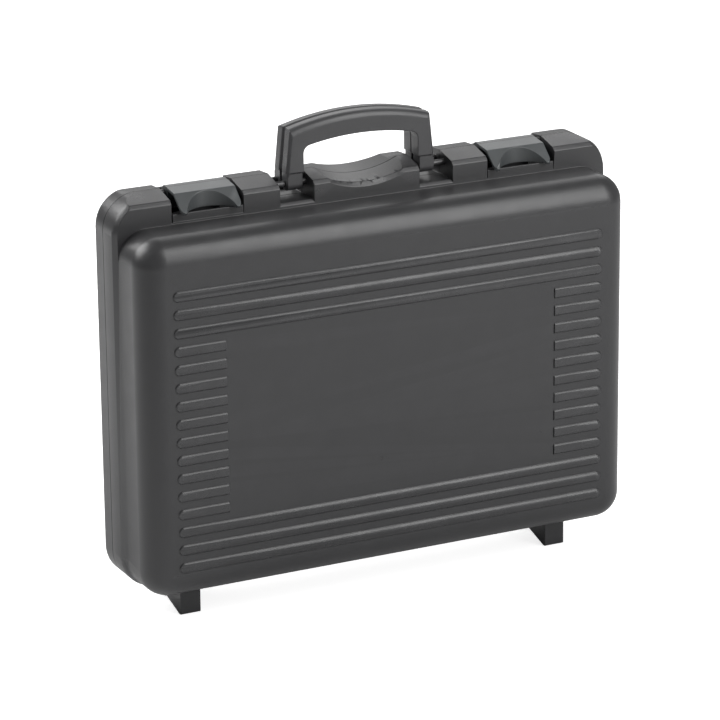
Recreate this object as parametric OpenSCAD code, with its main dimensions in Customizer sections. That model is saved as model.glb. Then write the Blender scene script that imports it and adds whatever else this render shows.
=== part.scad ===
// Hard tool case: two moulded shells, hinged at the feet, with two flap latches and a split handle.
// The case stands on its feet. X runs to the right, Y to the rear and Z up, and the floor is at Z = 0.

/* [Case] */
// Width across the rim
case_w = 464; // [430:2:560]
// Height from the floor to the top of the rim
case_h = 367; // [300:2:450]
// Depth of the front shell, from the parting to the faces of its ribs
front_depth = 73; // [64:0.5:96]
// Depth of the rear shell, from the parting to the faces of its ribs
rear_depth = 59; // [57:0.5:96]
// Thickness of the moulded walls
wall = 2.8; // [2:0.1:3.4]

/* [Trays] */
// How far the front tray stands inside the rim at the sides and at the bottom
front_inset = 3.4; // [2:0.2:6]
// How far the rear tray stands inside the rim at the sides and at the bottom
rear_inset = 9.5; // [8:0.5:14]
// Corner radius of the front tray, seen from the front
front_corner = 24; // [23:1:36]
// Radius of the front tray's edge round its face
front_round = 22; // [12:1:22]
// Corner radius of the rear tray, seen from the rear
rear_corner = 46; // [40:1:60]
// Radius of the rear tray's edge round its face
rear_round = 38; // [20:1:38]

/* [Rim] */
// Corner radius of the rim
rim_corner = 30; // [26:1:40]
// Height of the step from the tray's top to the top of the rim
step_h = 25.7; // [22:0.5:30]
// Depth of the flat side of the front rim, from the parting
front_side_d = 18.5; // [16:0.5:22]
// Depth of the flat side of the rear rim, from the parting
rear_side_d = 16; // [14:0.5:18]
// Depth of the front rim at its top, from the parting to the step
front_step_d = 24.4; // [22:0.2:25]
// Slope of the front rim's top, in degrees
crown_slope = 13.6; // [6:0.2:16]
// Slope of the rear rim's top, in degrees
rear_slope = 4.3; // [1:0.1:8]
// Width of the chamfer between the rim's top and the step
crown_chamfer = 3; // [1:0.1:4]

/* [Ribs] */
// Distance between the middles of two ribs
rib_pitch = 15.79; // [12:0.1:20]
// Height of a rib at its foot
rib_foot = 9.4; // [6:0.2:11]
// Height of a rib at its face
rib_face = 7; // [4:0.2:9]
// How far a rib stands out
rib_h = 1.3; // [0.8:0.1:2.5]
// Width of the blank panel beside the short ribs
panel_w = 309.4; // [120:1:330]
// Count of full ribs above and below the blank panel
full_rows = 3; // [1:1:4]

/* [Handle] */
// Outer width of the handle where its legs enter the rim
handle_w = 139.2; // [120:1:150]
// Outer width of the handle at the top of its legs
handle_top_w = 133; // [110:1:139]
// Clear width between the legs
grip_gap_w = 107.4; // [90:1:114]
// Thickness of one half of the handle
handle_t = 13.3; // [9:0.1:14]
// Height of the handle above the rim
handle_rise = 46.8; // [38:1:60]
// Radius of the handle's arched top
handle_arch_r = 240; // [150:5:400]
// Radius of the arch under the grip
grip_arch_r = 240; // [200:5:600]
// Height of the grip, from its arch to its top
grip_h = 18.8; // [16:0.5:24]
// Rounding of the outer top edge
handle_round = 6.4; // [2:0.2:8]
// Rounding of the top edge along the groove between the two halves
groove_round = 2.4; // [1:0.1:3]
// Chamfer of the legs' long edges
leg_chamfer = 2.2; // [1:0.1:3]
// Radius of a handle pin
handle_pin_r = 2; // [1.5:0.1:2.6]

/* [Latches] */
// Width of a latch
latch_w = 55.3; // [40:1:60]
// Distance of a latch's middle from the side of the case
latch_from_side = 85.7; // [80:1:100]
// Width of the pocket that a latch lies in
pocket_w = 65.1; // [62:1:70]
// Thickness of the latch flap
latch_t = 2.8; // [2:0.1:3.2]
// Radius of the finger scoop in a latch
scoop_r = 25; // [20:1:27]
// Radius of the latch barrel
barrel_r = 6.5; // [5:0.1:7]
// Radius of a latch pin
latch_pin_r = 1.6; // [1.2:0.1:2.4]

/* [Feet and hinges] */
// Width of a foot
foot_w = 18.7; // [16:0.5:26]
// Distance of a foot's middle from the side of the case
foot_from_side = 55.5; // [50:1:80]
// How far the front foot stands behind the rib faces
foot_back = 37.9; // [34:0.5:44]
// Height of the hinge axis above the floor
hinge_z = 10; // [9:0.5:13]
// Radius of a hinge knuckle
knuckle_r = 4.2; // [3.6:0.1:4.6]
// Radius of a hinge pin
hinge_pin_r = 1.8; // [1.4:0.1:2.2]

/* [Fits] */
// Radial clearance of a pin in its bore
run_gap = 0.05; // [0.02:0.01:0.1]
// Side clearance between parts that move past each other
side_gap = 0.4; // [0.3:0.1:1]

/* [Hidden] */
$fn = 96;
far = 400;

// Places along Y: the middle of the whole case is at Y = 0.
parting_y = (front_depth - rear_depth) / 2;

// Heights of the rim and of the two trays.
rim_top = case_h;
tray_top = case_h - step_h;
front_bottom = 28.6;
rim_bottom = front_bottom - front_inset;
rear_bottom = rim_bottom + rear_inset;

// Depths from the parting to the junction of each tray's side with the rim.
front_side_slope = 6.9;
front_rim_d = front_side_d + front_side_slope;
rear_side_slope = 5.5;
rear_rim_d = rear_side_d + rear_side_slope;
chamfer_slope = 47;

// Ribs: the blank edge beside them, and the length of the short ones.
front_rib_edge = 27.1;
rear_rib_edge = rear_round + 8;
short_rib = (case_w - panel_w) / 2 - front_inset - front_rib_edge;
rib_foot_h = 0.2;

// Blocks and gaps along the rim's top, as distances from the middle.
centre_block = 49.7;
leg_recess = 81.1;
latch_x = case_w / 2 - latch_from_side;
pocket_x = latch_x + 1.2;
pocket_in = pocket_x - pocket_w / 2;
pocket_out = pocket_x + pocket_w / 2;
leg_floor = tray_top + 4.7;
recess_chamfer = 2.4;
pocket_floor = tray_top + 1.7;

// The dip under the grip, for the fingers.
dip_half = 40.5;
dip_depth = 9;
dip_r = (dip_half * dip_half + dip_depth * dip_depth) / (2 * dip_depth);
dip_slope = 7.9;

// Locating lip on the front shell and its seat in the rear shell.
lip_t = 1.6;
lip_h = 4;

// Handle pivots: a little outside the middle of each half, so an upright half leans on its twin.
handle_gap = 0.4;
handle_pivot_d = 7.6;
handle_pivot_z = case_h - 9;
lug_in = 55;
lug_out = 69;
lug_r = 6;
leg_h = 30;
leg_block_h = 24;
window_corner = 7;
corner_drop = 0.03;
leg_lean = atan((handle_w - handle_top_w) / 2 / leg_h);
sleeve_z = case_h + 0.5;
boss_r = 6;

// Latch pivot and the outline of the flap, seen from the side.
latch_y = parting_y + 4.2;
latch_z = case_h - 5.9;
bend_y = parting_y - 15.9;
bend_z = case_h - 1.9;
tip_y = parting_y - 31.5;
tip_z = case_h - 15.5;
catch_top = pocket_floor + 7.4;
hook_z = catch_top + 0.3;

// Feet.
foot_x = case_w / 2 - foot_from_side;
knuckle_w = 7.5;
block_gap = knuckle_r + 0.8;
foot_pad = 4;
foot_apex = hinge_z - 2.6;
heel_drop = 12;

// Rounded block that lies outward from the parting along local Z. Its outline is w by h with corner
// radius r, and the child is the section of its edge, from 0 at the corner's middle out to r.
module pan(w, h, r, depth) {
    half_w = w / 2 - r;
    half_h = h / 2 - r;
    translate([-half_w, -half_h, 0])
        cube([2 * half_w, 2 * half_h, depth]);
    for (quarter = [0 : 3]) {
        out = quarter % 2 == 0 ? half_w : half_h;
        along = quarter % 2 == 0 ? half_h : half_w;
        rotate(90 * quarter) translate([out, along, 0]) {
            rotate([90, 0, 0]) linear_extrude(2 * along) children();
            rotate_extrude(angle = 90) children();
        }
    }
}

// Section of a pan's edge with its far corner rounded.
module round_section(r, depth, round_r) {
    difference() {
        square([r, depth]);
        translate([r - round_r, depth - round_r]) difference() {
            square(round_r + 1);
            circle(round_r);
        }
    }
}

// Section of a pan's edge with its far corner chamfered.
module chamfer_section(r, depth, inset, run) {
    polygon([[0, 0], [r, 0], [r, depth - run], [r - inset, depth], [0, depth]]);
}

// Turns what is drawn outward from the parting into the front half or the rear half of the case.
module front_half() {
    translate([0, parting_y, 0]) rotate([90, 0, 0]) children();
}

module rear_half() {
    translate([0, parting_y, 0]) mirror([0, 1, 0]) rotate([90, 0, 0]) children();
}

// One tray, as a solid or, with skin above 0, as the hollow inside its wall.
module tray(inset, bottom, corner, round_r, depth, skin = 0) {
    w = case_w - 2 * inset - 2 * skin;
    h = tray_top - bottom - 2 * skin;
    r = corner - skin;
    translate([0, (tray_top + bottom) / 2, 0])
        pan(w, h, r, depth - skin) round_section(r, depth - skin, round_r - skin);
}

// Rim of one shell, with its sloping top. On the front it has a step down to the tray, with a chamfer.
module rim(inset, slope_run, rim_d, step_d, slope) {
    difference() {
        translate([0, (rim_top + rim_bottom) / 2, 0])
            pan(case_w, rim_top - rim_bottom, rim_corner, rim_d)
                chamfer_section(rim_corner, rim_d, inset, slope_run);
        translate([-far, rim_top, 0]) rotate([slope, 0, 0])
            translate([0, 0, -20]) cube([2 * far, 40, 80]);
        if (step_d < rim_d) {
            chamfer_d = step_d - crown_chamfer;
            translate([-far, tray_top - front_corner, step_d]) cube([2 * far, 80, 40]);
            translate([-far, rim_top - chamfer_d * tan(slope), chamfer_d])
                rotate([chamfer_slope, 0, 0]) cube([2 * far, 20, 20]);
        }
    }
}

// A box through the rim, between two distances from the middle, on one side.
module rim_gap(from_x, to_x, floor_z) {
    translate([from_x, floor_z, -1]) cube([to_x - from_x, 60, 60]);
}

// What is cut out of the top of one rim: the handle's recesses, the latch pockets and the dip. The
// dip is one slanting cylinder that runs through both rims, lower at the front.
module top_cuts(step_d, slope, chamfered) {
    for (side = [0, 1]) mirror([side, 0, 0]) {
        rim_gap(centre_block, leg_recess, leg_floor);
        rim_gap(pocket_in, pocket_out, pocket_floor);
        if (chamfered) translate([centre_block, leg_floor, step_d])
            rotate([0, 90, 0]) linear_extrude(leg_recess - centre_block)
                polygon([[recess_chamfer, 0], [-1, -recess_chamfer - 1], [-1, 0]]);
    }
    translate([0, rim_top - dip_depth + dip_r / cos(slope), 0]) rotate([slope, 0, 0]) {
        translate([0, 0, -20]) cylinder(h = 80, r = dip_r, $fn = 180);
        if (chamfered) translate([0, 0, step_d - crown_chamfer])
            cylinder(h = 2 * crown_chamfer, r1 = dip_r, r2 = dip_r + 2 * crown_chamfer, $fn = 180);
    }
}

// Hollows under the blocks of the rim, open to the parting.
module cores(depth) {
    core_top = handle_pivot_z - boss_r;
    for (span = [[-centre_block, centre_block], [leg_recess, pocket_in], [-pocket_in, -leg_recess],
                 [pocket_out, case_w / 2 - 8], [8 - case_w / 2, -pocket_out]]) {
        translate([span[0] + wall, tray_top + wall / 2, -1])
            cube([span[1] - span[0] - 2 * wall, core_top - tray_top - wall / 2, depth - wall + 1]);
    }
}

// Raised rib from x0 to x1 on a face at depth 0. Each end is round or, with 0, cut off square.
module rib(x0, x1, round_left, round_right) {
    foot = rib_foot / 2;
    face = rib_face / 2;
    start = x0 + foot * round_left;
    end = x1 - foot * round_right;
    translate([start, 0, 0]) rotate([90, 0, 90]) linear_extrude(end - start)
        polygon([[-foot, -1], [foot, -1], [foot, rib_foot_h], [face, rib_h], [-face, rib_h],
                 [-foot, rib_foot_h]]);
    if (round_left == 1) translate([start, 0, 0]) rib_end(90);
    if (round_right == 1) translate([end, 0, 0]) rib_end(-90);
}

module rib_end(turn) {
    rotate(turn) rotate_extrude(angle = 180)
        polygon([[0, -1], [rib_foot / 2, -1], [rib_foot / 2, rib_foot_h], [rib_face / 2, rib_h],
                 [0, rib_h]]);
}

// Rows of ribs from low_z to high_z: full ones at the top and bottom, short ones at the sides between.
module rib_field(half_w, low_z, high_z) {
    rows = round((high_z - low_z) / rib_pitch);
    for (row = [0 : rows]) translate([0, high_z - row * rib_pitch, 0]) {
        if (row < full_rows || row > rows - full_rows) {
            rib(-half_w, half_w, 1, 1);
        } else {
            rib(-half_w, -half_w + short_rib, 1, 0);
            rib(half_w - short_rib, half_w, 0, 1);
        }
    }
}

// Lip that stands out of the front shell's parting and locates the rear shell.
module lip_outline(grow) {
    w = case_w - 2 * front_inset - 2 * wall + 2 * grow;
    h = tray_top - front_bottom - 2 * wall + 2 * grow;
    r = front_corner - wall + grow;
    translate([0, (tray_top + front_bottom) / 2, -lip_h])
        pan(w, h, r, lip_h) square([r, lip_h]);
}

// Side view of a foot, drawn outward from the parting: u is the distance from it and v the height.
module foot_side(reach, top_z) {
    rotate([90, 0, 90]) translate([0, 0, -foot_w / 2]) linear_extrude(foot_w)
        polygon([[foot_apex, block_gap], [0, reach - foot_pad], [0, reach - 1], [1, reach],
                 [top_z, reach], [top_z, block_gap]]);
}

// Bosses on both sides of the handle's lugs, inside the leg recess.
module handle_bosses() {
    for (side = [0, 1]) mirror([side, 0, 0]) {
        for (span = [[centre_block - 1, lug_in - side_gap], [lug_out + side_gap, leg_recess + 1]])
            translate([span[0], handle_pivot_z, handle_pivot_d]) rotate([0, 90, 0])
                cylinder(h = span[1] - span[0], r = boss_r);
    }
}

// Bores for the two pins of one handle half.
module handle_bores() {
    for (side = [0, 1]) mirror([side, 0, 0])
        translate([centre_block - 5, handle_pivot_z, handle_pivot_d]) rotate([0, 90, 0])
            cylinder(h = leg_recess - centre_block + 10, r = handle_pin_r + run_gap);
}

// Front shell: tray, rim, ribs, feet, lip, catches and the bosses of the front handle half.
module front_shell() {
    tray_d = front_depth - rib_h;
    color([0.29, 0.29, 0.30]) difference() {
        union() {
            difference() {
                front_half() {
                    tray(front_inset, front_bottom, front_corner, front_round, tray_d);
                    rim(front_inset, front_side_slope, front_rim_d, front_step_d, crown_slope);
                    for (side = [-1, 1]) translate([side * foot_x, 0, 0])
                        foot_side(front_depth - foot_back, front_bottom + 1);
                    translate([0, 0, tray_d])
                        rib_field(case_w / 2 - front_inset - front_rib_edge, front_bottom + 28.7,
                                  tray_top - 47.1);
                }
                front_half() {
                    translate([0, 0, -1])
                        tray(front_inset, front_bottom, front_corner, front_round, tray_d + 1, wall);
                    top_cuts(front_step_d, dip_slope, true);
                    cores(front_step_d);
                }
            }
            front_half() {
                difference() {
                    lip_outline(lip_t + 0.2);
                    translate([0, 0, -1]) lip_outline(0.2);
                    translate([0, 0, 1]) lip_outline(0.2);
                }
                handle_bosses();
                for (side = [-1, 1]) translate([side * latch_x - 16, pocket_floor - 1, 7.5])
                    cube([32, catch_top - pocket_floor + 1, 3]);
            }
            for (side = [-1, 1]) translate([side * foot_x, parting_y, hinge_z]) knuckle(knuckle_w, -1);
        }
        front_half() handle_bores();
        hinge_bores(hinge_pin_r + run_gap);
    }
}

// Hinge knuckle of width w with the web that joins it to its foot, in front or behind.
module knuckle(w, way) {
    translate([-w / 2, 0, 0]) rotate([0, 90, 0]) cylinder(h = w, r = knuckle_r);
    translate([-w / 2, way > 0 ? 0 : -block_gap - 1, foot_apex - hinge_z])
        cube([w, block_gap + 1, knuckle_r + hinge_z - foot_apex - 0.6]);
}

module hinge_bores(r) {
    for (side = [-1, 1]) translate([side * foot_x - foot_w, parting_y, hinge_z])
        rotate([0, 90, 0]) cylinder(h = 2 * foot_w, r = r);
}

// Rear shell: tray, rim, ribs, feet, forks of the hinges, and the bosses of handle and latches.
module rear_shell() {
    tray_d = rear_depth - rib_h;
    fork_w = (foot_w - knuckle_w) / 2 - side_gap;
    color([0.29, 0.29, 0.30]) difference() {
        union() {
            difference() {
                rear_half() {
                    tray(rear_inset, rear_bottom, rear_corner, rear_round, tray_d);
                    rim(rear_inset, rear_side_slope, rear_rim_d, rear_rim_d, rear_slope);
                    for (side = [-1, 1]) translate([side * foot_x, 0, 0])
                        foot_side(rear_depth - 0.5, rear_bottom + rear_round - heel_drop);
                    translate([0, 0, tray_d])
                        rib_field(case_w / 2 - rear_inset - rear_rib_edge,
                                  rear_bottom + rear_rib_edge, tray_top - rear_rib_edge);
                }
                rear_half() {
                    translate([0, 0, -1])
                        tray(rear_inset, rear_bottom, rear_corner, rear_round, tray_d + 1, wall);
                    translate([0, 0, lip_h]) lip_outline(lip_t + 0.2 + side_gap);
                    top_cuts(rear_rim_d, -dip_slope, false);
                    cores(rear_rim_d);
                }
            }
            rear_half() {
                handle_bosses();
                latch_bosses();
            }
            for (side = [-1, 1], ear = [-1, 1])
                translate([side * foot_x + ear * (foot_w - fork_w) / 2, parting_y, hinge_z])
                    knuckle(fork_w, 1);
        }
        rear_half() handle_bores();
        hinge_bores(hinge_pin_r + run_gap);
        latch_bores(latch_pin_r + run_gap, pocket_w / 2 + 5);
    }
}

// Bosses beside each latch barrel, on the walls of the pocket.
module latch_bosses() {
    for (side = [0, 1]) mirror([side, 0, 0]) {
        half = latch_w / 2 + side_gap;
        for (span = [[pocket_in - 1, latch_x - half], [latch_x + half, pocket_out + 1]])
            translate([span[0], latch_z, latch_y - parting_y]) rotate([0, 90, 0])
                cylinder(h = span[1] - span[0], r = latch_pin_r + 1.9);
    }
}

module latch_bores(r, half) {
    for (side = [-1, 1]) translate([side * pocket_x - half, latch_y, latch_z])
        rotate([0, 90, 0]) cylinder(h = 2 * half, r = r);
}

// Section of the grip's top: its outer edge and the edge along the groove are rounded.
module grip_section(r) {
    difference() {
        round_section(r, handle_t, handle_round);
        translate([r - groove_round, groove_round]) mirror([0, 1]) difference() {
            square(groove_round + 1);
            circle(groove_round);
        }
    }
}

// Cut that chamfers a leg's long edge at distance d, on its outer face or, with way -1, on the groove.
module leg_edge(d, way) {
    translate([handle_w / 2 - leg_chamfer, sleeve_z - 1, d]) rotate([0, 0, leg_lean])
        rotate([0, way * 45, 0]) translate([-1, -2, way > 0 ? 0 : -10]) cube([10, 2 * leg_h, 10]);
}

// One half of the handle, drawn outward from the parting. The grip's top follows one large arc.
module handle_half() {
    crown_z = case_h + handle_rise;
    top_centre = crown_z - handle_arch_r;
    ring_w = 40;
    sweep = 2 * asin(handle_w / 2 / handle_arch_r) + 4;
    trim_h = 2 * leg_h;
    trim_x = handle_w / 2 - trim_h * tan(leg_lean);
    difference() {
        union() {
            intersection() {
                union() {
                    translate([0, top_centre, handle_gap]) rotate(90 - sweep / 2)
                        rotate_extrude(angle = sweep, $fn = 360)
                            translate([handle_arch_r - ring_w, 0]) grip_section(ring_w);
                    translate([-handle_w / 2, sleeve_z, handle_gap])
                        cube([handle_w, leg_block_h, handle_t]);
                }
                linear_extrude(handle_t + 2 * handle_gap) polygon([
                    [-handle_w / 2, sleeve_z], [handle_w / 2, sleeve_z],
                    [trim_x, sleeve_z + trim_h], [-trim_x, sleeve_z + trim_h]]);
            }
            for (side = [0, 1]) mirror([side, 0, 0]) {
                translate([lug_in, handle_pivot_z, handle_pivot_d - lug_r])
                    cube([lug_out - lug_in, sleeve_z - handle_pivot_z + 1, 2 * lug_r]);
                translate([lug_in, handle_pivot_z, handle_pivot_d]) rotate([0, 90, 0])
                    cylinder(h = lug_out - lug_in, r = lug_r);
            }
        }
        grip_window(crown_z - grip_h);
        for (side = [0, 1]) mirror([side, 0, 0]) {
            leg_edge(handle_t + handle_gap, 1);
            leg_edge(handle_gap, -1);
            translate([lug_in - 1, handle_pivot_z, handle_pivot_d]) rotate([0, 90, 0])
                cylinder(h = lug_out - lug_in + 2, r = handle_pin_r + run_gap);
        }
    }
}

// Opening between the legs, under the arch of the grip.
module grip_window(arch_z) {
    arch_centre = arch_z - grip_arch_r;
    corner_x = grip_gap_w / 2 - window_corner;
    corner_z = arch_centre + sqrt(pow(grip_arch_r - window_corner, 2) - corner_x * corner_x);
    tangent_x = corner_x * grip_arch_r / (grip_arch_r - window_corner);
    translate([0, 0, -handle_gap]) linear_extrude(handle_t + 3 * handle_gap) union() {
        translate([-grip_gap_w / 2, sleeve_z - leg_h]) square([grip_gap_w, corner_z - sleeve_z + leg_h]);
        intersection() {
            translate([0, arch_centre]) circle(grip_arch_r, $fn = 360);
            translate([-tangent_x, corner_z - handle_gap]) square([2 * tangent_x, grip_h]);
        }
        for (side = [-1, 1]) translate([side * corner_x, corner_z - corner_drop])
            circle(window_corner, $fn = 48);
    }
}

module front_handle() {
    color([0.33, 0.33, 0.34]) front_half() handle_half();
}

module rear_handle() {
    color([0.33, 0.33, 0.34]) rear_half() handle_half();
}

// Side view of the flap: its outer line runs from the barrel to the bend and down to the tip.
module flap_side() {
    upper = atan2(latch_z + barrel_r - bend_z, latch_y - bend_y);
    lower = atan2(bend_z - tip_z, bend_y - tip_y);
    middle = (upper + lower) / 2;
    reach = latch_t / cos((lower - upper) / 2);
    polygon([
        [latch_y - 0.5, latch_z + barrel_r - 0.05], [bend_y, bend_z], [tip_y, tip_z],
        [tip_y + latch_t * sin(lower), tip_z - latch_t * cos(lower)],
        [bend_y + reach * sin(middle), bend_z - reach * cos(middle)],
        [latch_y - 0.5, latch_z + barrel_r - latch_t]
    ]);
}

// Everything between the flap's outer line and the lower edge of the scoop wall.
module scoop_side() {
    polygon([[bend_y + 8, bend_z - 1], [bend_y, bend_z - 1], [tip_y + 1, tip_z - 0.5], [tip_y + 1, hook_z],
             [bend_y + 8, hook_z]]);
}

module along_x(w) {
    translate([-w / 2, 0, 0]) rotate([90, 0, 90]) linear_extrude(w) children();
}

// One latch, about its own middle plane.
module latch() {
    scoop_y = bend_y - 0.6 - scoop_r;
    horn = 5;
    difference() {
        union() {
            intersection() {
                difference() {
                    along_x(latch_w) flap_side();
                    translate([0, scoop_y, 0]) cylinder(h = 2 * far, r = scoop_r);
                }
                union() {
                    translate([-latch_w / 2, tip_y + horn, 0]) cube([latch_w, 60, 2 * far]);
                    translate([horn - latch_w / 2, tip_y, 0]) cube([latch_w - 2 * horn, 60, 2 * far]);
                    for (side = [-1, 1]) translate([side * (latch_w / 2 - horn), tip_y + horn, 0])
                        cylinder(h = 2 * far, r = horn);
                }
            }
            intersection() {
                along_x(latch_w - 2) scoop_side();
                translate([0, scoop_y, 0]) difference() {
                    cylinder(h = 2 * far, r = scoop_r + 2.2);
                    cylinder(h = 2 * far, r = scoop_r);
                }
            }
            translate([0, latch_y, latch_z]) rotate([0, 90, 0])
                cylinder(h = latch_w, r = barrel_r, center = true);
            translate([-15, parting_y - 4, hook_z + 2]) cube([30, 2.4, bend_z - hook_z - 2.5]);
            translate([-15, parting_y - 8.5, hook_z]) cube([30, 6.9, 2.2]);
        }
        translate([0, latch_y, latch_z]) rotate([0, 90, 0])
            cylinder(h = 2 * latch_w, r = latch_pin_r + run_gap, center = true);
    }
}

module left_latch() {
    color([0.38, 0.39, 0.40]) translate([-latch_x, 0, 0]) latch();
}

module right_latch() {
    color([0.38, 0.39, 0.40]) translate([latch_x, 0, 0]) latch();
}

// A steel pin along X, from x0 to x1.
module pin(x0, x1, y, z, r) {
    color([0.62, 0.63, 0.65]) translate([x0, y, z]) rotate([0, 90, 0]) cylinder(h = x1 - x0, r = r);
}

module latch_pin(side) {
    half = pocket_w / 2 + 4;
    pin(side * pocket_x - half, side * pocket_x + half, latch_y, latch_z, latch_pin_r);
}

module handle_pin(side, way) {
    mirror([side < 0 ? 1 : 0, 0, 0])
        pin(centre_block - 4, leg_recess + 4, parting_y + way * handle_pivot_d, handle_pivot_z, handle_pin_r);
}

module hinge_pin(side) {
    half = foot_w / 2 - 0.5;
    pin(side * foot_x - half, side * foot_x + half, parting_y, hinge_z, hinge_pin_r);
}

module left_latch_pin() {
    latch_pin(-1);
}

module right_latch_pin() {
    latch_pin(1);
}

module front_left_handle_pin() {
    handle_pin(-1, -1);
}

module front_right_handle_pin() {
    handle_pin(1, -1);
}

module rear_left_handle_pin() {
    handle_pin(-1, 1);
}

module rear_right_handle_pin() {
    handle_pin(1, 1);
}

module left_hinge_pin() {
    hinge_pin(-1);
}

module right_hinge_pin() {
    hinge_pin(1);
}

front_shell();
rear_shell();
front_handle();
rear_handle();
left_latch();
right_latch();
left_latch_pin();
right_latch_pin();
front_left_handle_pin();
front_right_handle_pin();
rear_left_handle_pin();
rear_right_handle_pin();
left_hinge_pin();
right_hinge_pin();
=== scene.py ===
"""Looks of the hard tool case: its moulded shells, split handle, flap latches and steel pins.

Every piece is a finished copy of its CAD node. The copy is merged, the shells get their dip, pocket walls
and slim bosses, sharp edges get the small rounding that a mould leaves, and each piece takes a procedural
finish. All sizes are in metres, in the frame of the CAD model.
"""

import logging
import math
from dataclasses import dataclass, field
from enum import Enum

import bmesh
import bpy
from mathutils import Matrix, Vector


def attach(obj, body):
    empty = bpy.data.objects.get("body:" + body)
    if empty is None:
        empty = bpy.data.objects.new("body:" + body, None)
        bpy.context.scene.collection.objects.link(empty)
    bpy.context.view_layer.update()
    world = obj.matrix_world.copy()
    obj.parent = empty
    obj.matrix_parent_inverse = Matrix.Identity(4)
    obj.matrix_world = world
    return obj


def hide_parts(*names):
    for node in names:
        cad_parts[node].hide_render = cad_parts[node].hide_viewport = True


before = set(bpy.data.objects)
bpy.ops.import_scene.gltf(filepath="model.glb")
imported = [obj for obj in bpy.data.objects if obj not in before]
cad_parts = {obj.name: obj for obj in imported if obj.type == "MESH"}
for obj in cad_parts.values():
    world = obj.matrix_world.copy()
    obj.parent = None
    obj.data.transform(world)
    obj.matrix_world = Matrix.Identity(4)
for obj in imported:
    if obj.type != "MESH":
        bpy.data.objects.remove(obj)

MM = 0.001
WHITE = (1.0, 1.0, 1.0, 1.0)
SIDES = (-1, 1)
# Most values of a noise texture lie between these two.
NOISE_LOW = 0.3
NOISE_HIGH = 0.7
PIN_ROUND = 0.3 * MM
log = logging.getLogger("tool_case")


class Slot(Enum):
    """Material slots of the record."""

    SHELL = "shell_plastic"
    HANDLE = "handle_plastic"
    LATCH = "latch_plastic"
    PIN = "pin_steel"


class Body(Enum):
    """Bodies that pieces ride on."""

    REAR_CASE = "rear_case"
    FRONT_CASE = "front_case"
    FRONT_HANDLE = "front_handle"
    REAR_HANDLE = "rear_handle"
    LEFT_LATCH = "left_latch"
    RIGHT_LATCH = "right_latch"


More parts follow.
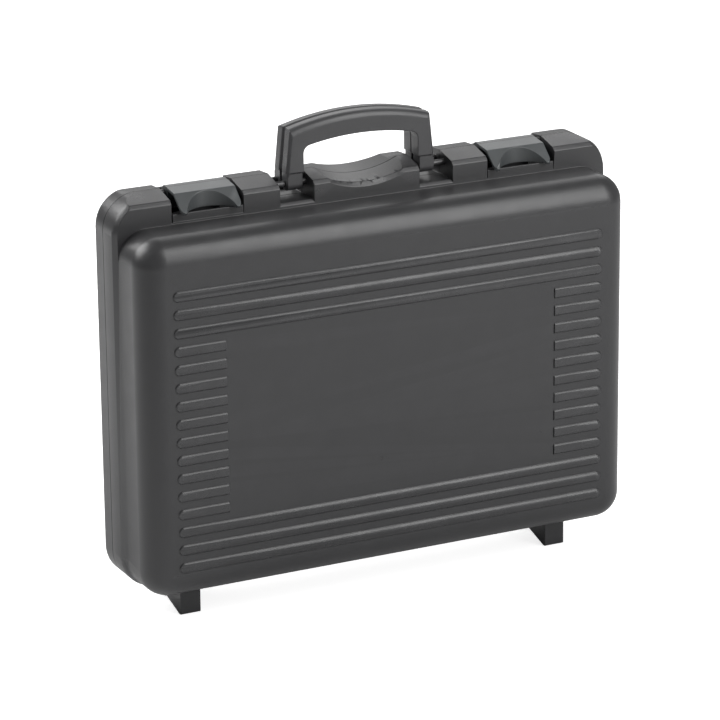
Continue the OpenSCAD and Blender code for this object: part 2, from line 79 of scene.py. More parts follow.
class NodeSheet:
    """Short way to place and join the nodes of one node tree."""

    def __init__(self, tree: bpy.types.NodeTree) -> None:
        """Starts with an empty tree.

        Args:
            tree: the node tree of a material, a world or a node group.
        """
        self.tree = tree
        tree.nodes.clear()

    def add(self, kind: str, inputs: dict[str, object] | None = None, **settings: object) -> bpy.types.Node:
        """Places one node.

        Args:
            kind: type name of the node.
            inputs: values for its input sockets, by name.
            settings: properties of the node itself.

        Returns:
            The new node.
        """
        node = self.tree.nodes.new(kind)
        for name, value in settings.items():
            setattr(node, name, value)
        for name, value in (inputs or {}).items():
            node.inputs[name].default_value = value
        return node

    def join(self, source: bpy.types.NodeSocket, target: bpy.types.NodeSocket) -> None:
        """Links an output socket to an input socket."""
        self.tree.links.new(source, target)

    def math(self, operation: str, first: bpy.types.NodeSocket, second: float | bpy.types.NodeSocket,
             clamp: bool = False) -> bpy.types.NodeSocket:
        """Places a Math node.

        Args:
            operation: name of the operation, such as MULTIPLY.
            first: socket of the first value.
            second: the second value, a number or a socket.
            clamp: whether the result stays between 0 and 1.

        Returns:
            The socket of the result.
        """
        node = self.add("ShaderNodeMath", operation=operation, use_clamp=clamp)
        self.join(first, node.inputs[0])
        if isinstance(second, bpy.types.NodeSocket):
            self.join(second, node.inputs[1])
        else:
            node.inputs[1].default_value = second
        return node.outputs[0]

    def spread(self, value: bpy.types.NodeSocket, low: float, high: float, to_low: float,
               to_high: float) -> bpy.types.NodeSocket:
        """Maps a value from one range to another.

        Args:
            value: socket of the value.
            low: start of its range.
            high: end of its range.
            to_low: what the start becomes.
            to_high: what the end becomes.

        Returns:
            The socket of the result.
        """
        node = self.add("ShaderNodeMapRange", {"From Min": low, "From Max": high, "To Min": to_low,
                                               "To Max": to_high})
        self.join(value, node.inputs["Value"])
        return node.outputs["Result"]

    def noise(self, place: bpy.types.NodeSocket, scale: float | bpy.types.NodeSocket, detail: float,
              roughness: float) -> bpy.types.NodeSocket:
        """Places a Noise Texture.

        Args:
            place: socket of the coordinates.
            scale: the scale, a number or a socket.
            detail: count of finer layers.
            roughness: strength of the finer layers.

        Returns:
            The socket of the noise.
        """
        node = self.add("ShaderNodeTexNoise", {"Detail": detail, "Roughness": roughness})
        self.join(place, node.inputs["Vector"])
        if isinstance(scale, bpy.types.NodeSocket):
            self.join(scale, node.inputs["Scale"])
        else:
            node.inputs["Scale"].default_value = scale
        return node.outputs[0]

    def stretched(self, place: bpy.types.NodeSocket, inputs: dict[str, object]) -> bpy.types.NodeSocket:
        """Turns and stretches coordinates.

        Args:
            place: socket of the coordinates.
            inputs: values for the inputs of the Mapping node, by name.

        Returns:
            The socket of the result.
        """
        node = self.add("ShaderNodeMapping", inputs)
        self.join(place, node.inputs["Vector"])
        return node.outputs[0]

    def group(self, tree: bpy.types.NodeTree, place: bpy.types.NodeSocket,
              inputs: dict[str, object] | None = None) -> bpy.types.Node:
        """Places a shared node group.

        Args:
            tree: the node group.
            place: socket of the coordinates.
            inputs: values for its other inputs, by name.

        Returns:
            The group's node.
        """
        node = self.add("ShaderNodeGroup", node_tree=tree)
        for name, value in (inputs or {}).items():
            node.inputs[name].default_value = value
        self.join(place, node.inputs["Place"])
        return node

    def tinted(self, colour: tuple[float, float, float], level: bpy.types.NodeSocket) -> bpy.types.NodeSocket:
        """Scales a colour.

        Args:
            colour: the plain colour, linear.
            level: socket of the factor.

        Returns:
            The socket of the result.
        """
        node = self.add("ShaderNodeVectorMath", operation="SCALE")
        node.inputs[0].default_value = colour
        self.join(level, node.inputs["Scale"])
        return node.outputs[0]

    def finish(self, tint: bpy.types.NodeSocket, gloss: bpy.types.NodeSocket, height: bpy.types.NodeSocket,
               bump: dict[str, object], inputs: dict[str, object]) -> None:
        """Ends a material with a bump and a Principled surface.

        Args:
            tint: socket of the colour.
            gloss: socket of the roughness.
            height: socket of the height of the bump.
            bump: values for the inputs of the Bump node, by name.
            inputs: constant values for the inputs of the surface, by name.
        """
        relief = self.add("ShaderNodeBump", bump)
        self.join(height, relief.inputs["Height"])
        surface = self.add("ShaderNodeBsdfPrincipled", inputs)
        self.join(tint, surface.inputs["Base Color"])
        self.join(gloss, surface.inputs["Roughness"])
        self.join(relief.outputs[0], surface.inputs["Normal"])
        self.join(surface.outputs[0], self.add("ShaderNodeOutputMaterial").inputs["Surface"])


def open_material(name: str) -> tuple[bpy.types.Material, NodeSheet]:
    """Makes a material with an empty node tree.

    Args:
        name: name of the material.

    Returns:
        The material and the sheet of its nodes.
    """
    material = bpy.data.materials.new(name)
    material.use_nodes = True
    return material, NodeSheet(material.node_tree)


def open_group(name: str, inputs: dict[str, float],
               outputs: tuple[str, ...]) -> tuple[NodeSheet, bpy.types.Node, bpy.types.Node]:
    """Makes an empty node group with a coordinate input, number inputs and number outputs.

    Args:
        name: name of the group.
        inputs: default values of the number inputs, by name.
        outputs: names of the outputs.

    Returns:
        The sheet of the group, its input node and its output node.
    """
    group = bpy.data.node_groups.new(name, "ShaderNodeTree")
    group.interface.new_socket("Place", in_out="INPUT", socket_type="NodeSocketVector")
    for label, value in inputs.items():
        socket = group.interface.new_socket(label, in_out="INPUT", socket_type="NodeSocketFloat")
        socket.default_value = value
    for label in outputs:
        group.interface.new_socket(label, in_out="OUTPUT", socket_type="NodeSocketFloat")
    sheet = NodeSheet(group)
    return sheet, sheet.add("NodeGroupInput"), sheet.add("NodeGroupOutput")


def make_grain_group() -> bpy.types.NodeTree:
    """Builds the spark-eroded grain of a mould: small round pits over a slow unevenness.

    Returns:
        The node group, with the outputs Height and Shade.
    """
    sheet, start, end = open_group("mould_grain", {"Grain Scale": 1400.0, "Wave Scale": 60.0},
                                   ("Height", "Shade"))
    fine_height, slow_height = 0.7, 0.5
    fine_shade, slow_shade = 0.45, 0.55
    place = start.outputs["Place"]
    pits = sheet.add("ShaderNodeTexVoronoi", {"Smoothness": 0.6}, feature="SMOOTH_F1")
    sheet.join(place, pits.inputs["Vector"])
    sheet.join(start.outputs["Grain Scale"], pits.inputs["Scale"])
    fine = sheet.noise(place, start.outputs["Grain Scale"], detail=3.0, roughness=0.6)
    slow = sheet.noise(place, start.outputs["Wave Scale"], detail=2.0, roughness=0.5)
    height = sheet.math("ADD", pits.outputs["Distance"], sheet.math("MULTIPLY", fine, fine_height))
    height = sheet.math("ADD", height, sheet.math("MULTIPLY", slow, slow_height))
    sheet.join(height, end.inputs["Height"])
    shade = sheet.math("ADD", sheet.math("MULTIPLY", fine, fine_shade),
                       sheet.math("MULTIPLY", slow, slow_shade))
    sheet.join(shade, end.inputs["Shade"])
    return sheet.tree


def make_marks_and_highlight_group() -> bpy.types.NodeTree:
    """Builds the marks of wear and a painted highlight on convex edges, short fine scuffs and a little dust.

    Returns:
        The node group, with the outputs Edge, for wear and the painted highlight on convex edges, Scuff and
        Dust.
    """
    sheet, start, end = open_group("handling_marks_and_edge_highlight", {"Scuff Scale": 90.0, "Dust Scale": 420.0},
                                   ("Edge Wear And Highlight", "Scuff", "Dust"))
    convex_range = (0.52, 0.6)
    edge_patch_range = (0.35, 0.7)
    least_edge_share = 0.25
    patch_scale = 35.0
    scuff_range = (0.6, 0.78)
    upward_range = (0.3, 1.0)
    speck_range = (0.56, 0.74)
    place = start.outputs["Place"]
    shape = sheet.add("ShaderNodeNewGeometry")
    # Painted highlight together with wear: convex edges, found by pointiness, get a lighter colour, in
    # patches.
    convex = sheet.spread(shape.outputs["Pointiness"], *convex_range, 0.0, 1.0)
    patch = sheet.noise(place, patch_scale, detail=4.0, roughness=0.65)
    edge_patches = sheet.spread(patch, *edge_patch_range, least_edge_share, 1.0)
    sheet.join(sheet.math("MULTIPLY", convex, edge_patches, clamp=True), end.inputs["Edge Wear And Highlight"])

    along = sheet.stretched(place, {"Rotation": (0.0, 0.35, 0.0), "Scale": (0.12, 1.0, 1.0)})
    scuff = sheet.noise(along, start.outputs["Scuff Scale"], detail=5.0, roughness=0.7)
    sheet.join(sheet.spread(scuff, *scuff_range, 0.0, 1.0), end.inputs["Scuff"])

    dust = sheet.noise(place, start.outputs["Dust Scale"], detail=2.0, roughness=0.55)
    split = sheet.add("ShaderNodeSeparateXYZ")
    sheet.join(shape.outputs["Normal"], split.inputs[0])
    upward = sheet.spread(split.outputs["Z"], *upward_range, 0.0, 1.0)
    specks = sheet.spread(dust, *speck_range, 0.0, 1.0)
    sheet.join(sheet.math("MULTIPLY", upward, specks, clamp=True), end.inputs["Dust"])
    return sheet.tree


def make_seam_shade_group() -> bpy.types.NodeTree:
    """Builds the painted shade along the seam between the shells: a dark line where the gap between them lies
    in shade.

    The painted shade leaves out the faces that meet at the seam, so that they show plainly when the case is
    open.

    Returns:
        The node group, with the output Clean, which is 1 away from the seam and lower where the shade is
        painted.
    """
    sheet, start, end = open_group("seam_painted_shade", {"Seam Y": 7 * MM, "Half Width": 0.8 * MM}, ("Unshaded",))
    fading_range = (0.5, 1.0)
    mating_range = (0.0, 0.06)
    darkest = 0.12
    split = sheet.add("ShaderNodeSeparateXYZ")
    sheet.join(start.outputs["Place"], split.inputs[0])
    away = sheet.math("ABSOLUTE", sheet.math("SUBTRACT", split.outputs["Y"], start.outputs["Seam Y"]), 0.0)
    share = sheet.math("DIVIDE", away, start.outputs["Half Width"])
    fading = sheet.spread(share, *fading_range, 0.0, 1.0)
    mating = sheet.spread(share, *mating_range, 1.0, 0.0)
    # Painted shade: right on the seam the colour falls to 0.12 of itself, where the gap between the shells
    # lies in shade.
    unshaded = sheet.spread(sheet.math("MAXIMUM", fading, mating), 0.0, 1.0, darkest, 1.0)
    sheet.join(unshaded, end.inputs["Unshaded"])
    return sheet.tree


def make_drawn_group() -> bpy.types.NodeTree:
    """Builds the fine lines that drawing leaves round a wire, which lies along X.

    Returns:
        The node group, with the output Height.
    """
    sheet, start, end = open_group("drawn_lines", {"Line Scale": 900.0}, ("Height",))
    along = sheet.stretched(start.outputs["Place"], {"Scale": (0.04, 1.0, 1.0)})
    lines = sheet.noise(along, start.outputs["Line Scale"], detail=3.0, roughness=0.6)
    sheet.join(lines, end.inputs["Height"])
    return sheet.tree


@dataclass(frozen=True)
class PlasticFinish:
    """Moulded plastic with its grain, scuffs, dust, wear and a painted highlight on convex edges, and a
    painted shade along the seam.

    Attributes:
        name: name of the material.
        colour: plain colour, linear.
        roughness: mean roughness.
        specular: level of the reflection at a right angle.
        grain_scale: count of grains in a metre.
        grain_depth: depth of the grain in metres.
        shade_spread: how much the grain lightens and darkens the colour.
        edge_wear_and_highlight_lift: how much lighter convex edges are, as wear and a painted highlight.
        scuff_lift: how much lighter scuffs are.
        dust_lift: how much lighter dust is.
        roughness_spread: how much the grain changes the roughness.
        edge_polish: how much smoother the convex edges with wear are.
        scuff_haze: how much rougher scuffs are.
    """

    name: str
    colour: tuple[float, float, float]
    roughness: float
    specular: float
    grain_scale: float
    grain_depth: float
    shade_spread: float
    edge_wear_and_highlight_lift: float
    scuff_lift: float = 0.015
    dust_lift: float = 0.12
    roughness_spread: float = 0.05
    edge_polish: float = 0.1
    scuff_haze: float = 0.02

    def build(self, groups: "ShaderGroups") -> bpy.types.Material:
        """Makes the material.

        Args:
            groups: the shared node groups.

        Returns:
            The material.
        """
        material, sheet = open_material(self.name)
        place = sheet.add("ShaderNodeTexCoord").outputs["Object"]
        grain = sheet.group(groups.grain, place, {"Grain Scale": self.grain_scale})
        marks = sheet.group(groups.marks_and_highlight, place)
        seam = sheet.group(groups.seam, place)

        level = sheet.spread(grain.outputs["Shade"], NOISE_LOW, NOISE_HIGH, 1.0 - self.shade_spread,
                             1.0 + self.shade_spread)
        # The convex-edge mark lightens the colour as wear and a painted highlight; scuffs and dust are real
        # marks.
        for mark, lift in (("Edge Wear And Highlight", self.edge_wear_and_highlight_lift), ("Scuff", self.scuff_lift), ("Dust", self.dust_lift)):
            level = sheet.math("ADD", level, sheet.math("MULTIPLY", marks.outputs[mark], lift))
        # Painted shade: the colour darkens along the seam between the shells.
        level = sheet.math("MULTIPLY", level, seam.outputs["Unshaded"])

        gloss = sheet.spread(grain.outputs["Shade"], NOISE_LOW, NOISE_HIGH,
                             self.roughness - self.roughness_spread, self.roughness + self.roughness_spread)
        polish = sheet.math("MULTIPLY", marks.outputs["Edge Wear And Highlight"], self.edge_polish)
        haze = sheet.math("MULTIPLY", marks.outputs["Scuff"], self.scuff_haze)
        gloss = sheet.math("ADD", sheet.math("SUBTRACT", gloss, polish), haze, clamp=True)

        sheet.finish(sheet.tinted(self.colour, level), gloss, grain.outputs["Height"],
                     {"Strength": 1.0, "Distance": self.grain_depth}, {"Specular IOR Level": self.specular})
        return material


@dataclass(frozen=True)
class SteelFinish:
    """Drawn steel wire of the pins.

    Attributes:
        name: name of the material.
        colour: plain colour, linear.
        roughness: mean roughness.
        shade_range: how dark and how light the lines make the colour.
        roughness_range: how much smoother and rougher the lines are.
        line_strength: strength of the lines as a bump.
        line_depth: depth of the lines.
    """

    name: str
    colour: tuple[float, float, float]
    roughness: float
    shade_range: tuple[float, float] = (0.88, 1.08)
    roughness_range: tuple[float, float] = (0.06, 0.08)
    line_strength: float = 0.4
    line_depth: float = 0.02 * MM

    def build(self, groups: "ShaderGroups") -> bpy.types.Material:
        """Makes the material.

        Args:
            groups: the shared node groups.

        Returns:
            The material.
        """
        material, sheet = open_material(self.name)
        place = sheet.add("ShaderNodeTexCoord").outputs["Object"]
        height = sheet.group(groups.drawn, place).outputs["Height"]
        shade = sheet.spread(height, NOISE_LOW, NOISE_HIGH, *self.shade_range)
        smoother, rougher = self.roughness_range
        gloss = sheet.spread(height, NOISE_LOW, NOISE_HIGH, self.roughness - smoother,
                             self.roughness + rougher)
        sheet.finish(sheet.tinted(self.colour, shade), gloss, height,
                     {"Strength": self.line_strength, "Distance": self.line_depth}, {"Metallic": 1.0})
        return material


@dataclass
class ShaderGroups:
    """The node groups that the finishes share."""

    grain: bpy.types.NodeTree = field(default_factory=make_grain_group)
    marks_and_highlight: bpy.types.NodeTree = field(default_factory=make_marks_and_highlight_group)
    seam: bpy.types.NodeTree = field(default_factory=make_seam_shade_group)
    drawn: bpy.types.NodeTree = field(default_factory=make_drawn_group)


class Palette:
    """All finishes of the case, one for each slot of the record."""

    def __init__(self) -> None:
        """Builds the shared groups and the materials."""
        groups = ShaderGroups()
        self.materials = {
            Slot.SHELL: PlasticFinish(
                name="grained_polypropylene", colour=(0.034, 0.034, 0.0355), roughness=0.34, specular=0.5,
                grain_scale=1500.0, grain_depth=0.05 * MM, shade_spread=0.08, edge_wear_and_highlight_lift=0.4).build(groups),
            Slot.HANDLE: PlasticFinish(
                name="satin_handle_plastic", colour=(0.048, 0.048, 0.05), roughness=0.34, specular=0.5,
                grain_scale=2200.0, grain_depth=0.03 * MM, shade_spread=0.05, edge_wear_and_highlight_lift=0.5).build(groups),
            Slot.LATCH: PlasticFinish(
                name="satin_latch_plastic", colour=(0.064, 0.069, 0.071), roughness=0.36, specular=0.5,
                grain_scale=2200.0, grain_depth=0.03 * MM, shade_spread=0.05, edge_wear_and_highlight_lift=0.6).build(groups),
            Slot.PIN: SteelFinish(
                name="drawn_steel", colour=(0.55, 0.55, 0.56), roughness=0.34).build(groups),
        }

    def of(self, slot: Slot) -> bpy.types.Material:
        """Returns the material of a slot."""
        return self.materials[slot]


def only(piece: bpy.types.Object) -> None:
    """Selects one object and nothing else, and makes it active.

    Args:
        piece: the object.
    """
    bpy.ops.object.select_all(action="DESELECT")
    piece.select_set(True)
    bpy.context.view_layer.objects.active = piece


def box(low: tuple[float, float, float], high: tuple[float, float, float]) -> bpy.types.Object:
    """Makes a box.

    Args:
        low: its lowest corner.
        high: its highest corner.

    Returns:
        The new object.
    """
    bpy.ops.object.select_all(action="DESELECT")
    size = [b - a for a, b in zip(low, high)]
    middle = [(a + b) / 2 for a, b in zip(low, high)]
    bpy.ops.mesh.primitive_cube_add(size=1.0, location=middle, scale=size)
    piece = bpy.context.object
    bpy.ops.object.transform_apply(location=True, rotation=True, scale=True)
    return piece


def extrude(outline: tuple[tuple[float, float], ...], low_x: float, high_x: float) -> bpy.types.Object:
    """Makes a prism along X.

    Args:
        outline: corners as pairs of Y and Z, in millimetres.
        low_x: its left end.
        high_x: its right end.

    Returns:
        The new object.
    """
    mesh = bpy.data.meshes.new("prism")
    count = len(outline)
    corners = [(x, y * MM, z * MM) for x in (low_x, high_x) for y, z in outline]
    sides = [(i, (i + 1) % count, (i + 1) % count + count, i + count) for i in range(count)]
    mesh.from_pydata(corners, [], [tuple(range(count)), tuple(range(count, 2 * count)), *sides])
    piece = bpy.data.objects.new("prism", mesh)
    bpy.context.scene.collection.objects.link(piece)
    only(piece)
    bpy.ops.object.mode_set(mode="EDIT")
    bpy.ops.mesh.select_all(action="SELECT")
    bpy.ops.mesh.normals_make_consistent(inside=False)
    bpy.ops.object.mode_set(mode="OBJECT")
    return piece


def combine(piece: bpy.types.Object, tool: bpy.types.Object, operation: str) -> None:
    """Joins a tool to a piece or cuts it away, and removes the tool.

    Args:
        piece: the piece that stays.
        tool: the tool.
        operation: UNION or DIFFERENCE.
    """
    only(piece)
    change = piece.modifiers.new("combine", "BOOLEAN")
    change.object = tool
    change.operation = operation
    change.solver = "EXACT"
    bpy.ops.object.modifier_apply(modifier=change.name)
    bpy.data.objects.remove(tool, do_unlink=True)


@dataclass
class MouldedPiece:
    """A finished copy of one CAD node, with the small edge rounding that a mould leaves.

    Attributes:
        node: name of the CAD node.
        body: body that the piece rides on.
        slot: material slot of the record.
        edge_round: width of the rounding on sharp edges.
        sharp_angle: edges that turn more than this are rounded, in degrees.
        least_width: an edge is rounded only where the faces beside it are wider than this.
        least_length: an edge is rounded only where it is longer than this.
        merge_distance: corners nearer to each other than this become one.
        flat_angle: faces that turn less than this become one, in degrees.
        smooth_angle: edges that turn less than this are shaded smoothly, in degrees.
        size_weight: how much the size of a face counts for the normals of its corners.
    """

    node: str
    body: Body
    slot: Slot
    edge_round: float = 0.5 * MM
    sharp_angle: float = 28.0
    least_width: float = 1.1 * MM
    least_length: float = 0.001 * MM
    merge_distance: float = 0.004 * MM
    flat_angle: float = 0.3
    smooth_angle: float = 35.0
    size_weight: int = 80

    def copy_node(self) -> bpy.types.Object:
        """Copies the CAD node and merges its loose triangles.

        Returns:
            The copy, which is one closed mesh.
        """
        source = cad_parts[self.node]
        mesh = source.data.copy()
        mesh.name = f"{self.node}_finished"
        piece = bpy.data.objects.new(mesh.name, mesh)
        bpy.context.scene.collection.objects.link(piece)
        mesh.materials.clear()
        only(piece)
        bpy.ops.object.mode_set(mode="EDIT")
        bpy.ops.mesh.select_all(action="SELECT")
        bpy.ops.mesh.remove_doubles(threshold=self.merge_distance)
        bpy.ops.mesh.dissolve_limited(angle_limit=math.radians(self.flat_angle))
        bpy.ops.object.mode_set(mode="OBJECT")
        return piece

    def shape(self, piece: bpy.types.Object) -> None:
        """Changes the copy before its edges are rounded; a plain piece needs nothing."""

    def takes_round(self, edge: bmesh.types.BMEdge) -> bool:
        """Says whether an edge is sharp and has room for its rounding.

        Args:
            edge: an edge of the merged copy.

        Returns:
            True if the edge is rounded.
        """
        if len(edge.link_faces) != 2 or edge.calc_length() < self.least_length:
            return False
        if edge.calc_face_angle(0.0) < math.radians(self.sharp_angle):
            return False
        width = min(face.calc_area() for face in edge.link_faces) / edge.calc_length()
        return width > self.least_width

    def round_edges(self, piece: bpy.types.Object) -> int:
        """Rounds the sharp edges of a copy.

        Known fault: on the shells this bevel leaves the flat ring face round the hollow
        filled over its hole, which shows as a dark sheet when the case is open.

        Args:
            piece: the copy.

        Returns:
            The count of rounded edges.
        """
        only(piece)
        bpy.ops.object.mode_set(mode="EDIT")
        bpy.ops.mesh.select_mode(type="EDGE")
        bpy.ops.mesh.select_all(action="DESELECT")
        mesh = bmesh.from_edit_mesh(piece.data)
        count = 0
        for edge in mesh.edges:
            if self.takes_round(edge):
                edge.select_set(True)
                count += 1
        bmesh.update_edit_mesh(piece.data)
        bpy.ops.mesh.bevel(offset=self.edge_round, segments=2, profile=0.5, affect="EDGES",
                           clamp_overlap=False, loop_slide=True)
        bpy.ops.object.mode_set(mode="OBJECT")
        return count

    def smooth(self, piece: bpy.types.Object) -> None:
        """Shades the copy smoothly and weighs its normals by the size of the faces.

        Args:
            piece: the copy.
        """
        only(piece)
        bpy.ops.object.shade_smooth_by_angle(angle=math.radians(self.smooth_angle))
        weigh = piece.modifiers.new("weigh_normals", "WEIGHTED_NORMAL")
        weigh.keep_sharp = True
        weigh.weight = self.size_weight
        bpy.ops.object.modifier_apply(modifier=weigh.name)

    def build(self, palette: Palette) -> bpy.types.Object:
        """Makes the finished piece and ties it to its body.

        Args:
            palette: the finishes.

        Returns:
            The finished piece.
        """
        piece = self.copy_node()
        self.shape(piece)
        rounded = self.round_edges(piece)
        self.smooth(piece)
        piece.data.materials.append(palette.of(self.slot))
        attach(piece, self.body.value)
        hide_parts(self.node)
        log.info("%s: %d edges rounded, %d faces, on %s", piece.name, rounded, len(piece.data.polygons),
                 self.body.value)
        return piece


@dataclass(frozen=True)
class GripDip:
    """The dip under the grip: one slanting cylinder through both rims, with a chamfer at its front.

    Attributes:
        radius: radius of the cylinder.
        seam_y: place of the seam between the shells.
        low_z: lowest point of the dip at the seam.
        slope: fall of the dip toward the front, in degrees.
        front_y: place of the front rim's face.
        chamfer: width of the chamfer along its edge.
        crown: outline of the front rim's block over the hollow, as pairs of Y and Z in millimetres.
        half_w: half width of the block.
        pin_x: where the handle pins begin.
        pin_top_z: height above which the block is solid over the pins.
        skin: depth of the last cut, which gives the dip one even surface.
        reach: how far the cylinder goes to either side of the seam.
        clear_y: range along Y of the box that clears the block over the pins.
        clear_z: bottom of that box.
        spare: how far that box goes past the block at each side.
        facets: count of flat sides of the cylinder.
    """

    radius: float = 95.6 * MM
    seam_y: float = 7 * MM
    low_z: float = 358 * MM
    slope: float = 7.9
    front_y: float = -17.4 * MM
    chamfer: float = 3 * MM
    crown: tuple[tuple[float, float], ...] = (
        (-17.37, 351), (-17.37, 358.57), (-14.4, 361.75), (6.97, 366.96), (6.97, 351))
    half_w: float = 49.66 * MM
    pin_x: float = 45.4 * MM
    pin_top_z: float = 360.3 * MM
    skin: float = 0.1 * MM
    reach: float = 80 * MM
    clear_y: tuple[float, float] = (-20 * MM, 10 * MM)
    clear_z: float = 340 * MM
    spare: float = 1 * MM
    facets: int = 192

    def cylinder(self, start: float, length: float, first: float, last: float) -> bpy.types.Object:
        """Makes a cylinder or cone on the dip's axis.

        Args:
            start: where it starts, measured along the axis from the seam to the front.
            length: its length.
            first: its radius at the start.
            last: its radius at the end.

        Returns:
            The new object.
        """
        tilt = math.radians(self.slope)
        along = Vector((0.0, -math.cos(tilt), -math.sin(tilt)))
        centre = Vector((0.0, self.seam_y, self.low_z + self.radius / math.cos(tilt)))
        bpy.ops.object.select_all(action="DESELECT")
        bpy.ops.mesh.primitive_cone_add(vertices=self.facets, radius1=first, radius2=last, depth=length,
                                        location=centre + along * (start + length / 2),
                                        rotation=(math.pi / 2 + tilt, 0.0, 0.0))
        return bpy.context.object

    def through(self, extra: float) -> bpy.types.Object:
        """Makes the whole cylinder of the dip.

        Args:
            extra: how much wider than the dip it is.

        Returns:
            The new object.
        """
        radius = self.radius + extra
        return self.cylinder(-self.reach, 2 * self.reach, radius, radius)

    def front_chamfer(self) -> bpy.types.Object:
        """Makes the cone that chamfers the dip's front edge and returns it."""
        tilt = math.radians(self.slope)
        depth = self.seam_y - self.front_y - self.chamfer
        start = (depth + self.radius * math.sin(tilt)) / math.cos(tilt)
        reach = 2 * self.chamfer
        return self.cylinder(start, reach, self.radius, self.radius + reach)

    def block(self) -> bpy.types.Object:
        """Makes the solid top of the front rim's block, already cut by the dip, and returns it."""
        low = extrude(self.crown, -self.pin_x, self.pin_x)
        high = extrude(self.crown, -self.half_w, self.half_w)
        end = self.half_w + self.spare
        below = box((-end, self.clear_y[0], self.clear_z), (end, self.clear_y[1], self.pin_top_z))
        combine(high, below, "DIFFERENCE")
        combine(low, high, "UNION")
        combine(low, self.through(0.0), "DIFFERENCE")
        return low


@dataclass(frozen=True)
class PocketWalls:
    """The walls that close a latch pocket at the front and at the back.

    Attributes:
        low_x: inner side of the wall.
        high_x: outer side of the wall.
        low_z: bottom of both walls, inside the rim.
        front_y: thickness range of the front wall.
        front_top: top of the front wall, under the flap.
        rear_y: thickness range of the rear wall.
        rear_top: top of the rear wall.
        recess_x: range of a handle recess along X.
        recess_top: top of its rear wall, under the folded handle.
    """

    low_x: float = 113.2 * MM
    high_x: float = 179.4 * MM
    low_z: float = 342.2 * MM
    front_y: tuple[float, float] = (-17.38 * MM, -14.9 * MM)
    front_top: float = 349.9 * MM
    rear_y: tuple[float, float] = (25.7 * MM, 28.45 * MM)
    rear_top: float = 362 * MM
    recess_x: tuple[float, float] = (49.2 * MM, 81.6 * MM)
    recess_top: float = 349.4 * MM

    def front(self, side: int) -> bpy.types.Object:
        """Makes the front wall of the left (-1) or right (1) pocket and returns it."""
        return self.wall(side, self.front_y, self.front_top)

    def rear(self, side: int) -> bpy.types.Object:
        """Makes the rear wall of the left (-1) or right (1) pocket and returns it."""
        return self.wall(side, self.rear_y, self.rear_top)

    def under_lug(self, side: int) -> bpy.types.Object:
        """Makes the low rear wall of the left (-1) or right (1) handle recess and returns it."""
        ends = sorted((side * self.recess_x[0], side * self.recess_x[1]))
        return box((ends[0], self.rear_y[0], self.low_z), (ends[1], self.rear_y[1], self.recess_top))

    def wall(self, side: int, across: tuple[float, float], top: float) -> bpy.types.Object:
        """Makes one wall.

        Args:
            side: -1 for the left pocket, 1 for the right one.
            across: its range along Y.
            top: its top.

        Returns:
            The new object.
        """
        ends = sorted((side * self.low_x, side * self.high_x))
        return box((ends[0], across[0], self.low_z), (ends[1], across[1], top))


@dataclass(frozen=True)
class HandleBosses:
    """The slim bosses beside the handle's lugs.

    Attributes:
        pivot_z: height of the pivots.
        front_y: place of the front pivot.
        rear_y: place of the rear pivot.
        slim: radius that shows.
        full: radius that is cut away.
        spans: ranges along X between the blocks and the lugs, in millimetres.
        spare: how far a ring's hole goes past the ring at each end.
        facets: count of flat sides of a rod.
    """

    pivot_z: float = 358 * MM
    front_y: float = -0.6 * MM
    rear_y: float = 14.6 * MM
    slim: float = 2.7 * MM
    full: float = 6.3 * MM
    spans: tuple[tuple[float, float], ...] = ((49.75, 54.7), (69.3, 81.05))
    spare: float = 1 * MM
    facets: int = 64

    def cutters(self, pivot_y: float) -> list[bpy.types.Object]:
        """Makes the rings that are cut from the bosses of one shell.

        Args:
            pivot_y: place of the shell's pivot.

        Returns:
            The rings.
        """
        rings = []
        for side in SIDES:
            for span in self.spans:
                low_x, high_x = sorted(side * value * MM for value in span)
                ring = self.rod(pivot_y, low_x, high_x, self.full)
                hole = self.rod(pivot_y, low_x - self.spare, high_x + self.spare, self.slim)
                combine(ring, hole, "DIFFERENCE")
                rings.append(ring)
        return rings

    def rod(self, pivot_y: float, low_x: float, high_x: float, radius: float) -> bpy.types.Object:
        """Makes a rod on the pivot's axis.

        Args:
            pivot_y: place of the pivot.
            low_x: its left end.
            high_x: its right end.
            radius: its radius.

        Returns:
            The new object.
        """
        bpy.ops.object.select_all(action="DESELECT")
        bpy.ops.mesh.primitive_cylinder_add(vertices=self.facets, radius=radius, depth=high_x - low_x,
                                            location=((low_x + high_x) / 2, pivot_y, self.pivot_z),
                                            rotation=(0.0, math.pi / 2, 0.0))
        return bpy.context.object


@dataclass
class Shell(MouldedPiece):
    """One half of the case, with its dip, pocket walls and bosses put right before its edges are rounded."""

    def shape(self, piece: bpy.types.Object) -> None:
        """Mends the copy of the CAD node.

        Args:
            piece: the copy.
        """
        dip, walls, bosses = GripDip(), PocketWalls(), HandleBosses()
        front = self.body is Body.FRONT_CASE
        if front:
            combine(piece, dip.block(), "UNION")
        combine(piece, dip.through(dip.skin), "DIFFERENCE")
        if front:
            combine(piece, dip.front_chamfer(), "DIFFERENCE")
        for side in SIDES:
            combine(piece, walls.front(side) if front else walls.rear(side), "UNION")
            if not front:
                combine(piece, walls.under_lug(side), "UNION")
        for ring in bosses.cutters(bosses.front_y if front else bosses.rear_y):
            combine(piece, ring, "DIFFERENCE")


@dataclass
class Shells:
    """The two halves of the case."""

    edge_round: float = 0.5 * MM

    def build(self, palette: Palette) -> list[bpy.types.Object]:
        """Makes both shells.

        Args:
            palette: the finishes.

        Returns:
            The shells.
        """
        return [
            Shell("front_shell", Body.FRONT_CASE, Slot.SHELL, self.edge_round).build(palette),
            Shell("rear_shell", Body.REAR_CASE, Slot.SHELL, self.edge_round).build(palette),
        ]


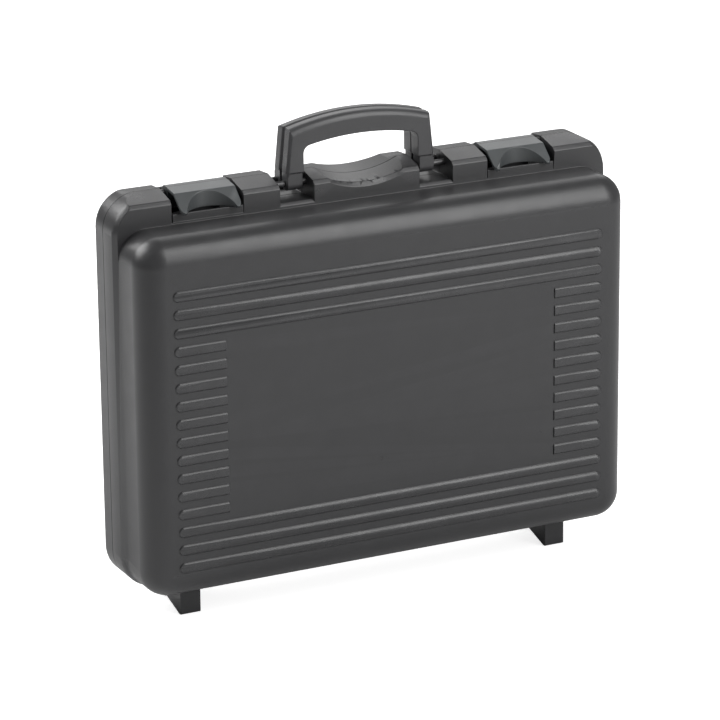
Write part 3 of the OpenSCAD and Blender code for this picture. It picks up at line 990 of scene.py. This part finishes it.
@dataclass
class SplitHandle:
    """The two halves of the folding handle, with their pins."""

    edge_round: float = 0.7 * MM
    pin_round: float = PIN_ROUND

    def build(self, palette: Palette) -> list[bpy.types.Object]:
        """Makes the halves and the pins.

        Args:
            palette: the finishes.

        Returns:
            The pieces of the handle.
        """
        pieces = [
            MouldedPiece("front_handle", Body.FRONT_HANDLE, Slot.HANDLE, self.edge_round).build(palette),
            MouldedPiece("rear_handle", Body.REAR_HANDLE, Slot.HANDLE, self.edge_round).build(palette),
        ]
        for half, body in (("front", Body.FRONT_CASE), ("rear", Body.REAR_CASE)):
            for side in ("left", "right"):
                pin = MouldedPiece(f"{half}_{side}_handle_pin", body, Slot.PIN, self.pin_round)
                pieces.append(pin.build(palette))
        return pieces


@dataclass
class Latches:
    """The two flap latches, with their pins."""

    edge_round: float = 0.45 * MM
    pin_round: float = PIN_ROUND

    def build(self, palette: Palette) -> list[bpy.types.Object]:
        """Makes the flaps and the pins.

        Args:
            palette: the finishes.

        Returns:
            The pieces of both latches.
        """
        pieces = []
        for side, body in (("left", Body.LEFT_LATCH), ("right", Body.RIGHT_LATCH)):
            pieces.append(MouldedPiece(f"{side}_latch", body, Slot.LATCH, self.edge_round).build(palette))
            pin = MouldedPiece(f"{side}_latch_pin", Body.REAR_CASE, Slot.PIN, self.pin_round)
            pieces.append(pin.build(palette))
        return pieces


@dataclass
class HingePins:
    """The pins of the two hinges in the feet."""

    pin_round: float = PIN_ROUND

    def build(self, palette: Palette) -> list[bpy.types.Object]:
        """Makes both pins.

        Args:
            palette: the finishes.

        Returns:
            The pins.
        """
        return [
            MouldedPiece(f"{side}_hinge_pin", Body.REAR_CASE, Slot.PIN, self.pin_round).build(palette)
            for side in ("left", "right")
        ]


@dataclass(frozen=True)
class Lamp:
    """A soft box.

    Attributes:
        name: name of the lamp.
        place: where it hangs.
        target: the point that it faces.
        size: its width and height.
        power: its power in watts.
    """

    name: str
    place: tuple[float, float, float]
    target: tuple[float, float, float]
    size: tuple[float, float]
    power: float

    def build(self) -> bpy.types.Object:
        """Hangs the lamp and returns its object."""
        light = bpy.data.lights.new(self.name, "AREA")
        light.shape = "RECTANGLE"
        light.size, light.size_y = self.size
        light.energy = self.power
        lamp = bpy.data.objects.new(self.name, light)
        bpy.context.scene.collection.objects.link(lamp)
        lamp.location = self.place
        aim = Vector(self.target) - Vector(self.place)
        lamp.rotation_euler = aim.to_track_quat("-Z", "Y").to_euler()
        return lamp


@dataclass
class Studio:
    """Pale floor, white surroundings and soft boxes.

    Attributes:
        floor_size: width of the floor.
        floor_colour: its plain colour, linear.
        floor_glow: what the camera sees on top of the lit floor.
        fill: strength of the surroundings as a light.
        lamps: the soft boxes.
    """

    floor_size: float = 40.0
    floor_colour: float = 0.8
    floor_glow: float = 0.8
    fill: float = 0.22
    lamps: tuple[Lamp, ...] = (
        Lamp("front_box", (0.95, -1.5, 1.42), (0.0, 0.0, 0.25), (1.0, 2.3), 40.0),
        Lamp("left_box", (-1.3, 1.15, 1.65), (0.0, 0.0, 0.25), (1.8, 1.3), 46.0),
        Lamp("rear_box", (0.9, 1.7, 1.6), (0.0, 0.0, 0.3), (2.0, 1.6), 14.0),
    )

    def build_floor(self) -> bpy.types.Object:
        """Lays the floor under the feet and returns its object."""
        bpy.ops.object.select_all(action="DESELECT")
        bpy.ops.mesh.primitive_plane_add(size=self.floor_size, location=(0.0, 0.0, 0.0))
        floor = bpy.context.object
        floor.name = "studio_floor"
        material, sheet = open_material("pale_floor")
        tone = (self.floor_colour,) * 3 + (1.0,)
        matt = sheet.add("ShaderNodeBsdfDiffuse", {"Color": tone})
        glow = sheet.add("ShaderNodeEmission", {"Color": WHITE})
        ray = sheet.add("ShaderNodeLightPath")
        seen = sheet.math("MULTIPLY", ray.outputs["Is Camera Ray"], self.floor_glow)
        sheet.join(seen, glow.inputs["Strength"])
        both = sheet.add("ShaderNodeAddShader")
        sheet.join(matt.outputs[0], both.inputs[0])
        sheet.join(glow.outputs[0], both.inputs[1])
        sheet.join(both.outputs[0], sheet.add("ShaderNodeOutputMaterial").inputs["Surface"])
        floor.data.materials.append(material)
        return floor

    def build_world(self) -> None:
        """Makes the surroundings: white to the camera, a soft fill as a light."""
        world = bpy.data.worlds.new("white_studio")
        world.use_nodes = True
        bpy.context.scene.world = world
        sheet = NodeSheet(world.node_tree)
        ray = sheet.add("ShaderNodeLightPath")
        strength = sheet.spread(ray.outputs["Is Camera Ray"], 0.0, 1.0, self.fill, 1.0)
        back = sheet.add("ShaderNodeBackground", {"Color": WHITE})
        sheet.join(strength, back.inputs["Strength"])
        sheet.join(back.outputs[0], sheet.add("ShaderNodeOutputWorld").inputs["Surface"])

    def build(self) -> None:
        """Sets up the floor, the surroundings and the lamps."""
        self.build_floor()
        self.build_world()
        for lamp in self.lamps:
            lamp.build()
        bpy.context.scene.view_settings.view_transform = "Standard"


@dataclass
class PhotoCamera:
    """Camera at the photograph's viewing angle.

    Attributes:
        place: where it stands.
        yaw: turn toward +X, in degrees.
        pitch: tilt below the horizon, in degrees.
        roll: turn about the view, in degrees.
        lens: focal length in millimetres.
        sensor: width of the sensor in millimetres.
        near: nearest distance that it shows.
        far: farthest distance that it shows.
    """

    place: tuple[float, float, float] = (-1.388, -2.828, 1.217)
    yaw: float = 26.14
    pitch: float = 18.03
    roll: float = -0.59
    lens: float = 192.5
    sensor: float = 36.0
    near: float = 0.05
    far: float = 100.0

    def build(self) -> bpy.types.Object:
        """Sets up the camera and returns its object."""
        yaw, pitch, roll = (math.radians(value) for value in (self.yaw, self.pitch, self.roll))
        ahead = Vector((math.sin(yaw) * math.cos(pitch), math.cos(yaw) * math.cos(pitch), -math.sin(pitch)))
        right = Vector((math.cos(yaw), -math.sin(yaw), 0.0))
        up = right.cross(ahead)
        turned_right = math.cos(roll) * right + math.sin(roll) * up
        turned_up = -math.sin(roll) * right + math.cos(roll) * up
        data = bpy.data.cameras.new("photo_camera")
        data.lens = self.lens
        data.sensor_width = self.sensor
        data.clip_start = self.near
        data.clip_end = self.far
        camera = bpy.data.objects.new("photo_camera", data)
        bpy.context.scene.collection.objects.link(camera)
        turn = Matrix((turned_right, turned_up, -ahead)).transposed().to_4x4()
        camera.matrix_world = Matrix.Translation(self.place) @ turn
        bpy.context.scene.camera = camera
        return camera


def main() -> None:
    """Builds the camera, the studio and every sub-assembly of the case."""
    logging.basicConfig(level=logging.INFO, format="%(name)s %(message)s")
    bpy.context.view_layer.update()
    PhotoCamera().build()
    Studio().build()
    palette = Palette()
    for assembly in (Shells(), SplitHandle(), Latches(), HingePins()):
        pieces = assembly.build(palette)
        log.info("%s: %d pieces", type(assembly).__name__, len(pieces))


if __name__ == "__main__":
    main()
